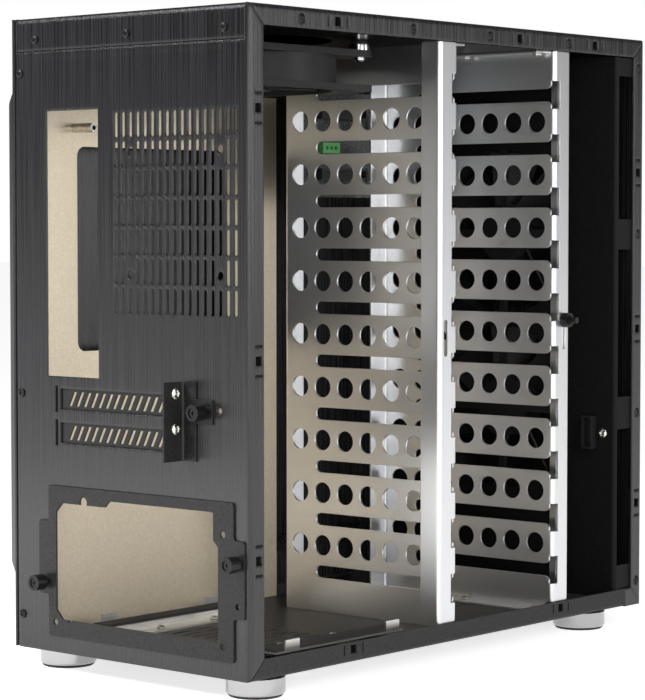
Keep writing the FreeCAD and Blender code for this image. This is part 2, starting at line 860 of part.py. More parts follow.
def supply_bracket():
    face = -seat
    x0, x1 = bracket_x, bracket_x + bracket_width
    z0, z1 = bracket_z, bracket_z + bracket_height
    low, high = ear_z, ear_z + ear_height
    outline = [(x0, z0), (x1, z0), (x1, low), (x1 + ear_width, low), (x1 + ear_width, high), (x1, high), (x1, z1),
               (x0, z1), (x0, high), (x0 - ear_width, high), (x0 - ear_width, low), (x0, low)]
    plate = prism([Vector(x, face, z) for x, z in outline], Y * -sheet, ear_round)
    opening = prism(supply_outline(gap, 0.0), Y * -(sheet + 2 * gap), supply_round)
    start_y = -sheet - gap
    holes = [rod(Vector(x, start_y, z), Y, supply_hole_radius, 2 * sheet) for x, z in supply_hole_places()]
    holes += [rod(Vector(x, start_y, z), Y, thumb_shank + screw_clear, 2 * sheet)
              for x, z in bracket_thumb_places()]
    holes.append(rod(Vector(spare_hole_x, start_y, left_thumb_z), Y, spare_hole_radius, 2 * sheet))
    top_edge = supply_z + supply_height - supply_left_drop
    holes.append(rod(Vector(top_notch_x, start_y, top_edge + top_notch_rise), Y, top_notch_radius, 2 * sheet))
    holes.append(rod(Vector(low_notch_x, start_y, supply_z), Y, low_notch_radius, 2 * sheet))
    return plate.cut([opening] + holes)


def bracket_thumbscrews():
    y = -sheet - 2 * seat
    return Part.makeCompound([thumbscrew(Vector(x, y, z), -Y, thumb_bite) for x, z in bracket_thumb_places()])


def card_cover(z):
    """Slotted cover of one card slot, with its tab folded out through the slot's end."""
    inside = sheet + seat + card_cover_sheet
    tab_x = clamp_x - seat
    path = [Vector(tab_x, -card_tab_reach, 0), Vector(tab_x, inside, 0),
            Vector(card_slot_x - card_cover_lap, inside, 0)]
    low, high = z - card_cover_width / 2, z + card_tab_above
    path = [point + Z * low for point in path]
    cover = folded(path, Z, Z * (high - low), card_cover_sheet)
    far_x = card_slot_x - card_cover_lap - gap
    bend_x = tab_x - card_cover_sheet - bend
    cuts = [box(far_x, bend_x, 0, flange, z + card_cover_width / 2, high + gap)]
    cuts.append(box(bend_x, clamp_x, -card_tab_reach - gap, flange, low - gap, z - card_tab_below))
    for i in range(card_vents):
        x = card_vent_x + i * card_vent_pitch
        foot_z, head_z = z - card_vent_height / 2, z + card_vent_height / 2
        corners = [(x, foot_z), (x + card_vent_width, foot_z),
                   (x + card_vent_width + card_vent_lean, head_z), (x + card_vent_lean, head_z)]
        cuts.append(prism([Vector(a, sheet, b) for a, b in corners], Y * (card_cover_sheet + 2 * gap)))
    screw = Vector(bend_x, -card_screw_out, z + card_screw_rise)
    cuts.append(rod(screw, X, small_shank + screw_clear, flange))
    return cover.cut(cuts)


def slot_clamp():
    leg_face = clamp_x + sheet
    path = [Vector(clamp_x + clamp_base, -sheet - seat, clamp_z), Vector(leg_face, -sheet - seat, clamp_z),
            Vector(leg_face, -clamp_reach, clamp_z)]
    clamp = folded(path, -Z, Z * clamp_height, sheet)
    half = clamp_tongue_height / 2
    tongue = box(clamp_x + clamp_base, clamp_x + clamp_base + clamp_tongue, -sheet - seat, -seat,
                 clamp_thumb_z - half, clamp_thumb_z + half)
    cuts = [rod(Vector(clamp_thumb_x, -2 * sheet, clamp_thumb_z), Y, thumb_shank + screw_clear, 3 * sheet)]
    for z in card_slot_z:
        start = Vector(clamp_x - gap, -card_screw_out, z + card_screw_rise)
        cuts.append(rod(start, X, small_shank + screw_clear, sheet + 2 * gap))
    return clamp.fuse(tongue).removeSplitter().cut(cuts)


def card_screws():
    size = (small_shank, cage_screw_head, cage_screw_head_height, sheet + card_cover_sheet + gap)
    seats = [Vector(clamp_x + sheet + seat, -card_screw_out, z + card_screw_rise) for z in card_slot_z]
    return Part.makeCompound([pan_screw(point, X, *size) for point in seats])


def clamp_thumbscrew():
    return thumbscrew(Vector(clamp_thumb_x, -sheet - 2 * seat, clamp_thumb_z), -Y, thumb_bite)


def standoff_places():
    """Board fixing points of the mini-ITX pattern: (y, z)."""
    low = board_top_hole_z - board_hole_span
    rows = [board_top_hole_z, board_top_hole_z, low, low]
    return [(board_rear_y + y, z) for y, z in zip(board_hole_y, rows)]


def motherboard_tray():
    rear = sheet + gap
    low = floor_z + seat
    path = [Vector(tray_x - tray_flange, rear, low), Vector(tray_x, rear, low), Vector(tray_x, tray_front_y, low)]
    tray = folded(path, Z, Z * (tray_top_z - low), inner_sheet)
    span = inner_sheet + 2 * gap
    window = [Vector(tray_x - inner_sheet - gap, y, z) for y, z in (
        (cutout_y[0], cutout_z[0]), (cutout_y[1], cutout_z[0]), (cutout_y[1], cutout_z[1]), (cutout_y[0], cutout_z[1]))]
    cuts = [prism(window, X * span, cutout_round)]
    step_z = tray_top_z - tray_step
    cuts.append(box(tray_x - inner_sheet - gap, tray_x + gap, tray_step_y, tray_front_y + gap, step_z, tray_top_z + gap))
    return tray.cut(cuts + rear_screw_holes())


def standoffs():
    pieces = []
    for y, z in standoff_places():
        post = rod(Vector(tray_x, y, z), X, standoff_radius, standoff_length)
        start = Vector(tray_x + standoff_length - standoff_hole_depth, y, z)
        pieces.append(post.cut(rod(start, X, standoff_hole, standoff_hole_depth + gap)))
    return Part.makeCompound(pieces)


def cage_sides():
    """Bay face of each cage plate and the way into the bay from it."""
    return [(bay_rear_y, 1), (bay_rear_y + bay_width, -1)]


def drive_slot_z():
    return [drive_first_z + i * drive_pitch for i in range(drive_count)]


def drive_slot_cut(z):
    """Slot for a drive's pins, with a round blind end and a flared mouth."""
    half = drive_slot_height / 2
    near = cage_near_x
    web_y = bay_rear_y - inner_sheet - gap
    points = [(drive_slot_x, z - half), (near - drive_flare, z - half), (near, z - half - drive_flare),
              (near + gap, z - half - drive_flare), (near + gap, z + half + drive_flare),
              (near, z + half + drive_flare), (near - drive_flare, z + half), (drive_slot_x, z + half)]
    round_end = half - seat
    radii = [round_end, drive_flare * 0.9, drive_flare * 0.3, 0, 0, drive_flare * 0.3, drive_flare * 0.9, round_end]
    return prism([Vector(x, web_y, b) for x, b in points], Y * (inner_sheet + 2 * gap), radii)


def drive_notch_cut(z):
    """Notch in the near flange at a drive slot's mouth."""
    reach = drive_slot_height / 2 + drive_flare
    inner_x = cage_near_x - inner_sheet - bend
    return box(inner_x, cage_near_x + gap, bay_rear_y - drive_notch, bay_rear_y + gap, z - reach, z + reach)


def lock_slot_cut():
    """Upright slot in the near flange for the lock bar's thumbscrew."""
    length = lock_travel + 2 * lock_slot_width
    middle = Vector(cage_near_x - inner_sheet - gap, bay_rear_y - lock_thumb_out,
                    lock_thumb_z + lock_slot_width - length / 2)
    return obround(middle, Z, length, lock_slot_width, X * (inner_sheet + 2 * gap))


def cage_plate_rear():
    low, high = floor_z + seat, roof_z - seat
    back = bay_rear_y - cage_channel
    path = [(cage_near_x - cage_lip, back), (cage_near_x, back), (cage_near_x, bay_rear_y),
            (cage_far_x, bay_rear_y), (cage_far_x, bay_rear_y + cage_far_flange)]
    plate = folded([Vector(x, y, low) for x, y in path], Z, Z * (high - low), inner_sheet)
    web = bay_rear_y - inner_sheet
    feet_strips = [box(cage_foot_x[0], cage_foot_x[1], web, bay_rear_y + cage_foot, z, z + inner_sheet)
                   for z in (low, high - inner_sheet)]
    plate = plate.fuse(feet_strips).removeSplitter()
    plate = plate.cut([drive_slot_cut(z) for z in drive_slot_z()])
    plate = plate.cut([drive_notch_cut(z) for z in drive_slot_z()])
    relief = box(cage_near_x - cage_lip - gap, cage_near_x + gap, back - gap, web, low - gap, flange)
    corner_x = width - sheet - seat - clip_depth - 2 * gap
    corner = box(corner_x, cage_near_x + gap, web - gap, bay_rear_y + gap, low - gap, flange)
    cuts = [lock_slot_cut(), relief, corner]
    for z in drive_slot_z():
        start = Vector(cage_far_x - gap, bay_rear_y + cage_far_flange / 2, z)
        cuts.append(rod(start, X, flange_hole_radius, inner_sheet + 2 * gap))
    for z in drive_slot_z()[:-1]:
        for k in range(hole_count):
            start = Vector(hole_last_x - k * hole_pitch, web - gap, z + drive_pitch / 2)
            cuts.append(rod(start, Y, hole_radius, inner_sheet + 2 * gap))
    for x in cage_screw_x:
        start = Vector(x, bay_rear_y + cage_screw_out, low - gap)
        cuts.append(rod(start, Z, small_shank + screw_clear, high - low + 2 * gap))
    return plate.cut(cuts)


def cage_plate_front():
    return cage_plate_rear().mirror(Vector(0, bay_rear_y + bay_width / 2, 0), Y)


def cage_screws():
    screws = []
    size = (small_shank, cage_screw_head, cage_screw_head_height, cage_screw_length)
    for web_y, into_bay in cage_sides():
        for x in cage_screw_x:
            y = web_y + into_bay * cage_screw_out
            screws.append(pan_screw(Vector(x, y, floor_z + inner_sheet + 2 * seat), Z, *size))
            screws.append(pan_screw(Vector(x, y, roof_z - inner_sheet - 2 * seat), -Z, *size))
    return Part.makeCompound(screws)


def lock_thumb_y():
    return bay_rear_y + bay_width + lock_thumb_out


def lock_bar():
    """Notched strip behind the near flange: its notches stand at the slots' mouths when it is up."""
    x1 = cage_near_x - inner_sheet - gap
    web = bay_rear_y + bay_width + inner_sheet
    y0, y1 = web + bend, web + cage_channel - 2 * inner_sheet - bend
    low, high = drive_slot_z()[0] - lock_end, drive_slot_z()[-1] + 2 * lock_end
    strip = box(x1 - inner_sheet, x1, y0, y1, low, high)
    reach = drive_slot_height / 2 + drive_flare + gap
    notch_y = bay_rear_y + bay_width + drive_notch + gap
    cuts = [box(x1 - inner_sheet - gap, x1 + gap, y0 - gap, notch_y, z - reach, z + reach) for z in drive_slot_z()]
    cuts.append(rod(Vector(x1 - inner_sheet - gap, lock_thumb_y(), lock_thumb_z), X, thumb_shank, 2 * inner_sheet))
    return strip.cut(cuts)


def lock_thumbscrew():
    bite = 2 * inner_sheet + gap + seat
    return thumbscrew(Vector(cage_near_x + seat, lock_thumb_y(), lock_thumb_z), X, bite)


def backplane_board():
    x1 = cage_far_x - inner_sheet - seat
    y0, y1 = bay_rear_y + backplane_y_inset, bay_rear_y + bay_width - backplane_y_inset
    return box(x1 - backplane_sheet, x1, y0, y1, backplane_z[0], backplane_z[1])


def backplane_sockets():
    x0 = cage_far_x - inner_sheet - seat
    middle = bay_rear_y + bay_width / 2
    half = socket_length / 2
    pieces = []
    for z in socket_z:
        body = box(x0, x0 + socket_reach, middle - half, middle + half, z, z + socket_height)
        mouth = box(x0 + socket_reach / 2, x0 + socket_reach + gap, middle - half + sheet, middle + half - sheet,
                    z + sheet, z + socket_height - sheet)
        pieces.append(body.cut(mouth))
    return Part.makeCompound(pieces)


def backplane_terminal():
    x0 = cage_far_x - inner_sheet - seat
    body = box(x0, x0 + terminal_reach, terminal_y, terminal_y + terminal_length,
               terminal_z, terminal_z + terminal_height)
    pitch = terminal_length / 4
    holes = [rod(Vector(x0 + terminal_reach / 2, terminal_y + pitch * i, terminal_z + terminal_height / 2),
                 X, pitch * 0.3, terminal_reach) for i in (1, 2, 3)]
    return body.cut(holes)


def fan_frame():
    """Fan frame about its own axis: two plates, the barrel between them and a hub on four struts."""
    half = fan_size / 2
    corners = [Vector(-half, -half, 0), Vector(half, -half, 0), Vector(half, half, 0), Vector(-half, half, 0)]
    plate = prism(corners, Z * fan_plate, fan_corner)
    top = plate.copy()
    top.translate(Z * (fan_thick - fan_plate))
    barrel = rod(Vector(0, 0, 0), Z, fan_barrel, fan_thick)
    holes = [rod(spot - Z * gap, Z, fan_screw_hole, fan_thick + 2 * gap) for spot in fan_screw_places()]
    bore = rod(Vector(0, 0, -gap), Z, fan_bore, fan_thick + 2 * gap)
    frame = plate.fuse([top, barrel]).cut([bore] + holes)
    hub = rod(Vector(0, 0, 0), Z, fan_hub, fan_hub_base)
    pin = rod(Vector(0, 0, 0), Z, fan_pin, fan_thick - fan_hub_base - gap)
    reach = fan_bore + gap
    struts = [box(-reach, reach, -fan_strut / 2, fan_strut / 2, 0, fan_hub_base),
              box(-fan_strut / 2, fan_strut / 2, -reach, reach, 0, fan_hub_base)]
    return frame.fuse(struts + [hub, pin]).removeSplitter()


def blade_section(radius, chord, pitch_deg, turn_deg):
    """Thin upright section of a blade at a radius, turned about the fan's axis."""
    pitch = math.radians(pitch_deg)
    along = Vector(0, math.cos(pitch), math.sin(pitch)) * (chord / 2)
    across = Vector(0, -math.sin(pitch), math.cos(pitch)) * (blade_thick / 2)
    middle_z = (fan_thick + fan_hub_base) / 2
    points = [Vector(radius, 0, middle_z) + a + b
              for a, b in ((along, across), (-along, across), (-along, -across), (along, -across))]
    wire = Part.makePolygon(points + points[:1])
    wire.rotate(Vector(0, 0, 0), Z, turn_deg)
    return wire


def fan_rotor():
    """Hub with swept blades, bored to run on the frame's pin."""
    low, high = fan_hub_base + gap, fan_thick - gap
    hub = rod(Vector(0, 0, low), Z, fan_hub, high - low)
    root = blade_section(fan_hub - 2 * blade_thick, blade_root_chord, blade_root_pitch, 0)
    tip = blade_section(blade_tip, blade_tip_chord, blade_tip_pitch, blade_sweep)
    blades = []
    for i in range(blade_count):
        blade = Part.makeLoft([root, tip], True, True)
        blade.rotate(Vector(0, 0, 0), Z, 360.0 * i / blade_count)
        blades.append(blade)
    bore = rod(Vector(0, 0, low - gap), Z, fan_pin + fan_run, fan_thick - 2 * fan_hub_base)
    return hub.fuse(blades).cut(bore)


def at_roof_fan(shape):
    """Hang a fan under the roof, its struts above."""
    shape.rotate(Vector(0, 0, 0), X, 180)
    shape.translate(Vector(width / 2, roof_fan_y, roof_z - shock_gap))
    return shape


def at_front_fan(shape, z):
    """Stand a fan against the front bracket, its struts towards the bracket."""
    shape.rotate(Vector(0, 0, 0), X, -90)
    shape.translate(Vector(width / 2, front_bracket_y + inner_sheet + seat, z))
    return shape


def roof_fan_posts():
    """Shoulder screws up through the fan's upper plate and the rubber rings into the roof."""
    seat_z = roof_z - shock_gap - fan_plate - seat
    length = fan_plate + shock_gap + post_reach
    size = (fan_screw_hole - screw_clear, post_head, post_head_height, length)
    middle = Vector(width / 2, roof_fan_y, seat_z)
    return Part.makeCompound([pan_screw(middle + spot, -Z, *size) for spot in fan_screw_places()])


def shock_washers(low, high, radius):
    """Round washers on the roof fan's screws, between two heights."""
    washers = []
    for spot in fan_screw_places():
        start = Vector(width / 2, roof_fan_y, low) + spot
        washer = rod(start, Z, radius, high - low)
        washers.append(washer.cut(rod(start, Z, fan_screw_hole, high - low)))
    return Part.makeCompound(washers)


def roof_fan_rings():
    return shock_washers(roof_z - shock_rubber, roof_z - seat, rubber_radius)


def roof_fan_collars():
    return shock_washers(roof_z - shock_gap + seat, roof_z - shock_rubber - seat, collar_radius)


def front_fan_screws():
    """Screws through the front bracket into the fans' corner holes."""
    size = (fan_screw_hole - screw_clear, post_head, cage_screw_head_height, inner_sheet + fan_plate)
    screws = []
    for z in front_fan_z:
        for spot in fan_screw_places():
            point = Vector(width / 2 + spot.x, front_bracket_y - seat, z + spot.y)
            screws.append(pan_screw(point, -Y, *size))
    return Part.makeCompound(screws)


def front_bracket():
    side = sheet + seat
    low, high = floor_z + seat, roof_z - seat
    path = [Vector(side, front_bracket_y + bracket_tab, low), Vector(side, front_bracket_y, low),
            Vector(width - side, front_bracket_y, low), Vector(width - side, front_bracket_y + bracket_tab, low)]
    plate = folded(path, Z, Z * (high - low), inner_sheet)
    spans = [low - gap] + [z for pair in bracket_tab_z for z in pair] + [high + gap]
    cuts = []
    bend_y = front_bracket_y + inner_sheet + bend
    for z0, z1 in zip(spans[::2], spans[1::2]):
        cuts.append(box(-gap, width + gap, bend_y, depth, z0, z1))
    through = inner_sheet + 2 * gap
    for z in front_fan_z:
        middle = Vector(width / 2, front_bracket_y - gap, z)
        cuts.append(rod(middle, Y, fan_bore, through))
        for spot in fan_screw_places():
            cuts.append(rod(middle + Vector(spot.x, 0, spot.y), Y, fan_screw_hole, through))
    cuts.append(rod(Vector(lead_screw_x, front_bracket_y - gap, lead_screw_z), Y, small_shank + screw_clear, through))
    return plate.cut(cuts + flange_screw_holes())


def lead_block():
    y1 = front_bracket_y - seat
    body = box(lead_block_x[0], lead_block_x[1], y1 - lead_block_depth, y1, lead_block_z[0], lead_block_z[1])
    wall = sheet
    mouth = box(lead_block_x[0] + wall, lead_block_x[1] - wall, y1 - lead_block_depth - gap, y1 - 2 * wall,
                lead_block_z[0] + wall, lead_block_z[1] - wall)
    return body.cut(mouth)


def lead_screw():
    size = (small_shank, cage_screw_head, cage_screw_head_height, cage_screw_length)
    return pan_screw(Vector(lead_screw_x, front_bracket_y - seat, lead_screw_z), -Y, *size)


def power_button():
    profile = [
        (-button_holder_depth + button_travel + seat, button_stem),
        (-sheet - button_travel, button_stem),
        (-sheet - button_travel, button_radius),
        (button_proud * 0.6, button_radius),
        (button_proud, button_radius - button_proud * 0.4),
    ]
    return turned(profile, Vector(width / 2, depth, button_z), Y)


def button_holder_block():
    """Holder behind the front panel that the button slides in."""
    front = depth - sheet - seat
    x = width / 2
    body = box(x - button_holder, x + button_holder, front - button_holder_depth, front,
               button_z - button_holder, button_z + button_holder)
    cup_depth = 2 * button_travel + gap
    cup = rod(Vector(x, front + gap, button_z), -Y, button_radius + gap, cup_depth + gap)
    guide = rod(Vector(x, front + gap, button_z), -Y, button_stem + gap, button_holder_depth + 2 * gap)
    return body.cut([cup, guide])


def front_ports():
    shells = []
    for x in port_places():
        y0, y1 = depth - seat - port_depth, depth - seat
        body = box(x - port_width / 2, x + port_width / 2, y0, y1, port_z - port_height / 2, port_z + port_height / 2)
        half_x, half_z = port_width / 2 - port_wall, port_height / 2 - port_wall
        mouth = box(x - half_x, x + half_x, y0 + sheet, y1 + gap, port_z - half_z, port_z + half_z)
        tongue = box(x - half_x + gap, x + half_x - gap, y0 + seat, y1 - sheet, port_z, port_z + port_wall * 3)
        shells.append(body.cut(mouth).fuse(tongue))
    return Part.makeCompound(shells)


def port_board():
    top = port_z - port_height / 2 - seat
    return box(width / 2 - port_board_half, width / 2 + port_board_half, front_bracket_y + inner_sheet + seat,
               depth - sheet - gap, top - backplane_sheet, top)


def rail_sides():
    """Outer face of each rail's tabs and the way inwards from it."""
    reach = seat + inner_sheet
    return [(supply_left - reach, 1), (supply_left + supply_body + reach, -1)]


def rail_box(side, start, end, y0, y1, z0, z1):
    """Box across a rail, from start to end inwards of its outer face."""
    outer_x, way = side
    x0, x1 = sorted((outer_x + way * start, outer_x + way * end))
    return box(x0, x1, y0, y1, z0, z1)


def rail_screw_places():
    middle = [outer_x + way * rail_screw_inset for outer_x, way in rail_sides()]
    return [(x, y) for x in middle for y in rail_screw_y]


def supply_rail(side):
    """Shelf with two upturned tabs, a wall down from its inner edge and a base on the floor."""
    low, top = floor_z + seat, rail_shelf_z + inner_sheet
    wall_end = rail_shelf + inner_sheet
    rail = rail_box(side, 0, wall_end, *rail_y, rail_shelf_z, top)
    wall = rail_box(side, rail_shelf, wall_end, *rail_y, low, top)
    base = rail_box(side, rail_shelf, wall_end + rail_base, *rail_y, low, low + inner_sheet)
    tabs = [rail_box(side, 0, inner_sheet, y, y + rail_tab_length, rail_shelf_z, rail_shelf_z + rail_tab_height)
            for y in rail_tab_y]
    holes = [rod(Vector(x, y, low - gap), Z, small_shank + screw_clear, inner_sheet + 2 * gap)
             for x, y in rail_screw_places()]
    return rail.fuse([wall, base] + tabs).removeSplitter().cut(holes)


def supply_rails():
    return Part.makeCompound([supply_rail(side) for side in rail_sides()])


def rail_pads():
    z0 = rail_shelf_z + inner_sheet + seat
    y0, y1 = rail_y[0] + gap, rail_y[1] - gap
    return Part.makeCompound([rail_box(side, inner_sheet + gap, rail_shelf, y0, y1, z0, z0 + rail_pad)
                              for side in rail_sides()])


def rail_screws():
    size = (small_shank, small_head, cage_screw_head_height, cage_screw_length)
    z = floor_z + inner_sheet + 2 * seat
    return Part.makeCompound([pan_screw(Vector(x, y, z), Z, *size) for x, y in rail_screw_places()])


def pieces():
    made = {
        "rear_panel": rear_panel(),
        "top_cover": top_cover(),
        "roof_plate": roof_plate(),
        "bottom_panel": bottom_panel(),
        "front_panel": front_panel(),
        "side_panel": side_panel(),
        "panel_studs": panel_studs(),
        "panel_clips": panel_clips(),
        "flange_screws": flange_screws(),
        "rear_screws": rear_screws(),
        "feet": feet(),
        "foot_pads": foot_pads(),
        "supply_bracket": supply_bracket(),
        "bracket_thumbscrews": bracket_thumbscrews(),
        "slot_clamp": slot_clamp(),
        "card_screws": card_screws(),
        "clamp_thumbscrew": clamp_thumbscrew(),
        "motherboard_tray": motherboard_tray(),
        "standoffs": standoffs(),
        "cage_plate_rear": cage_plate_rear(),
        "cage_plate_front": cage_plate_front(),
        "cage_screws": cage_screws(),
        "lock_bar": lock_bar(),
        "lock_thumbscrew": lock_thumbscrew(),
        "backplane_board": backplane_board(),
        "backplane_sockets": backplane_sockets(),
        "backplane_terminal": backplane_terminal(),
        "roof_fan_frame": at_roof_fan(fan_frame()),
        "roof_fan_rotor": at_roof_fan(fan_rotor()),
        "roof_fan_posts": roof_fan_posts(),
        "roof_fan_rings": roof_fan_rings(),
        "roof_fan_collars": roof_fan_collars(),
        "front_fan_screws": front_fan_screws(),
        "front_bracket": front_bracket(),
        "lead_block": lead_block(),
        "lead_screw": lead_screw(),
        "power_button": power_button(),
        "button_holder": button_holder_block(),
        "front_ports": front_ports(),
        "port_board": port_board(),
        "supply_rails": supply_rails(),
        "rail_pads": rail_pads(),
        "rail_screws": rail_screws(),
    }
    for name, z in zip(("lower", "upper"), card_slot_z):
        made["card_cover_" + name] = card_cover(z)
    for name, z in zip(("lower", "upper"), front_fan_z):
        made["front_fan_frame_" + name] = at_front_fan(fan_frame(), z)
        made["front_fan_rotor_" + name] = at_front_fan(fan_rotor(), z)
    return made


os.makedirs("parts", exist_ok=True)
for node, shape in pieces().items():
    place(shape).exportStep("parts/" + node + ".step")
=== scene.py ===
import json
import math
import bpy
from mathutils import Matrix, Vector


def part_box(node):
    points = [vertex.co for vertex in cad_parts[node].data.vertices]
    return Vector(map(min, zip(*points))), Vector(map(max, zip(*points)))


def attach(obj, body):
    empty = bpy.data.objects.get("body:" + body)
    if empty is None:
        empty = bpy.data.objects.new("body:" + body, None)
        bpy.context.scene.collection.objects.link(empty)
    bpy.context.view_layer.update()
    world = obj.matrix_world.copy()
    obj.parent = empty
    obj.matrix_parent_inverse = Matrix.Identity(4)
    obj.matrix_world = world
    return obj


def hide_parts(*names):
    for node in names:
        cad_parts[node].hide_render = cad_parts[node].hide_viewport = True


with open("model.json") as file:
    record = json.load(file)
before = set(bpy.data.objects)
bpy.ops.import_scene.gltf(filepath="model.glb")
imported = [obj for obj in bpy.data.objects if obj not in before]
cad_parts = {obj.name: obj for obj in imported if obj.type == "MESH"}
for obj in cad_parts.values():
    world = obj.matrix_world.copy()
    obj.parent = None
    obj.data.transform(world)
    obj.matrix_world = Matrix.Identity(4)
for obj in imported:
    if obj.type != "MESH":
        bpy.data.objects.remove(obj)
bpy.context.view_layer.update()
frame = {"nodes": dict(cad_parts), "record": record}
nodes = frame["nodes"]

# Camera at the photograph's viewing angle (metres, degrees)
CAMERA_PLACE = (-1.0462, 1.2224, 0.2717)
CAMERA_PITCH = 2.907
CAMERA_HEADING = 220.837
CAMERA_LENS = 128.94
SENSOR = 36.0

# Cross recesses: depth in metres, arms as shares of the head's breadth
RECESS_DEPTH = 0.0008
ARM_BREADTH = 0.16
ARM_REACH = 0.2
CROSS_HEADED = ("rear_screws", "flange_screws", "card_screws", "cage_screws",
                "lead_screw", "rail_screws", "front_fan_screws")
WELD = 0.000001

# Knurled thumbscrews: depths in metres, steps inwards as shares of the head's radius
KNURL_TEETH = 24
GROOVE_MARGIN = 0.00012
GROOVE_DEPTH = 0.00035
HEAD_DEPTH = 0.0075
HEAD_RIM = 0.16
DISH_SLOPE = 0.2
DISH_DEPTH = 0.0007
NECK_DEPTH = 0.0015
NECK_STEP = 0.35
SHANK_STEP = 0.22
THUMB_RECESS = 0.5

# Dust filters (metres)
FILTER_BREADTH = 0.1
FILTER_DEPTH = 0.001
FILTER_RIM = 0.003
FILTER_STAND_OFF = 0.0015

# Faces that meet at less than this are shaded as one round surface (degrees)
ROUND_ANGLE = 35.0
KNURL_ANGLE = 25.0

# Relief of the finishes (metres) and the noise that makes it
GRAIN_RELIEF = 0.00005
GRAIN_DETAIL = 4.0
SPECKLE_RELIEF = 0.00008
SPECKLE_DETAIL = 3.0
EDGE_SAMPLES = 4

# Studio: a pale floor, and a surround that is white to the eye and dim above the horizon in reflections
FLOOR_SIZE = 24.0
FLOOR_TONE = 0.82
FLOOR_ROUGHNESS = 0.9
FLOOR_GLOW = 0.74
AMBIENT = 0.24
HORIZON = (-0.04, 0.06)
MIRRORED_BELOW = 1.0
MIRRORED_ABOVE = 0.1


def link(tree, start, socket, end, into):
    """Join an output of one node to an input of another."""
    tree.links.new(start.outputs[socket], end.inputs[into])


def shader_of(finish):
    """The Principled shader of a finish."""
    return finish.node_tree.nodes["Principled BSDF"]


def new_finish(name, colour, metallic, roughness):
    """Material with one Principled shader, its plain values set on the shader's own sockets."""
    finish = bpy.data.materials.new(name)
    finish.use_nodes = True
    shader = shader_of(finish)
    shader.inputs["Base Color"].default_value = (*colour, 1.0)
    shader.inputs["Metallic"].default_value = metallic
    shader.inputs["Roughness"].default_value = roughness
    return finish, shader


def add_noise(finish, scale, detail, stretch=(1.0, 1.0, 1.0)):
    """Noise on the piece's own coordinates, stretched along the grain."""
    tree = finish.node_tree
    place = tree.nodes.new("ShaderNodeTexCoord")
    grain = tree.nodes.new("ShaderNodeMapping")
    grain.inputs["Scale"].default_value = stretch
    noise = tree.nodes.new("ShaderNodeTexNoise")
    noise.inputs["Scale"].default_value = scale
    noise.inputs["Detail"].default_value = detail
    link(tree, place, "Object", grain, "Vector")
    link(tree, grain, "Vector", noise, "Vector")
    return noise


def add_tones(finish, shader, noise, dark, light, low=0.35, high=0.65):
    """Colour between two tones, as the noise goes from low to high."""
    tree = finish.node_tree
    ramp = tree.nodes.new("ShaderNodeValToRGB")
    ramp.color_ramp.elements[0].position = low
    ramp.color_ramp.elements[0].color = (*dark, 1.0)
    ramp.color_ramp.elements[1].position = high
    ramp.color_ramp.elements[1].color = (*light, 1.0)
    link(tree, noise, "Fac", ramp, "Fac")
    link(tree, ramp, "Color", shader, "Base Color")


def add_gloss(finish, shader, noise, smooth, rough, low=0.3, high=0.7):
    """Roughness between two values, as the noise goes from low to high."""
    tree = finish.node_tree
    spread = tree.nodes.new("ShaderNodeMapRange")
    spread.inputs["From Min"].default_value = low
    spread.inputs["From Max"].default_value = high
    spread.inputs["To Min"].default_value = smooth
    spread.inputs["To Max"].default_value = rough
    link(tree, noise, "Fac", spread, "Value")
    link(tree, spread, "Result", shader, "Roughness")


def add_bump(finish, shader, noise, strength, distance, edge=0.0):
    """Fine relief from the noise, over edges rounded to the given radius."""
    tree = finish.node_tree
    bump = tree.nodes.new("ShaderNodeBump")
    bump.inputs["Strength"].default_value = strength
    bump.inputs["Distance"].default_value = distance
    link(tree, noise, "Fac", bump, "Height")
    link(tree, bump, "Normal", shader, "Normal")
    if edge:
        rounded = tree.nodes.new("ShaderNodeBevel")
        rounded.samples = EDGE_SAMPLES
        rounded.inputs["Radius"].default_value = edge
        link(tree, rounded, "Normal", bump, "Normal")


def brushed(name, dark, light, metallic, smooth, rough, stretch, depth=0.25, edge=0.0):
    """Metal with a fine straight grain along the axis that is stretched least."""
    finish, shader = new_finish(name, light, metallic, rough)
    grain = add_noise(finish, 1.0, GRAIN_DETAIL, stretch)
    add_tones(finish, shader, grain, dark, light)
    add_gloss(finish, shader, grain, smooth, rough)
    add_bump(finish, shader, grain, depth, GRAIN_RELIEF, edge)
    return finish


def speckled(name, dark, light, metallic, smooth, rough, scale, depth=0.2, edge=0.0):
    """Even surface with a fine speckle, for powder coat, plastic and rubber."""
    finish, shader = new_finish(name, light, metallic, rough)
    speckle = add_noise(finish, scale, SPECKLE_DETAIL)
    add_tones(finish, shader, speckle, dark, light)
    add_gloss(finish, shader, speckle, smooth, rough)
    add_bump(finish, shader, speckle, depth, SPECKLE_RELIEF, edge)
    return finish


# Noise scale along each axis, for a grain that runs upright, from front to rear, or across
UPRIGHT = (1400.0, 1400.0, 9.0)
FRONT_TO_REAR = (1400.0, 9.0, 1400.0)
ACROSS = (9.0, 1400.0, 1400.0)

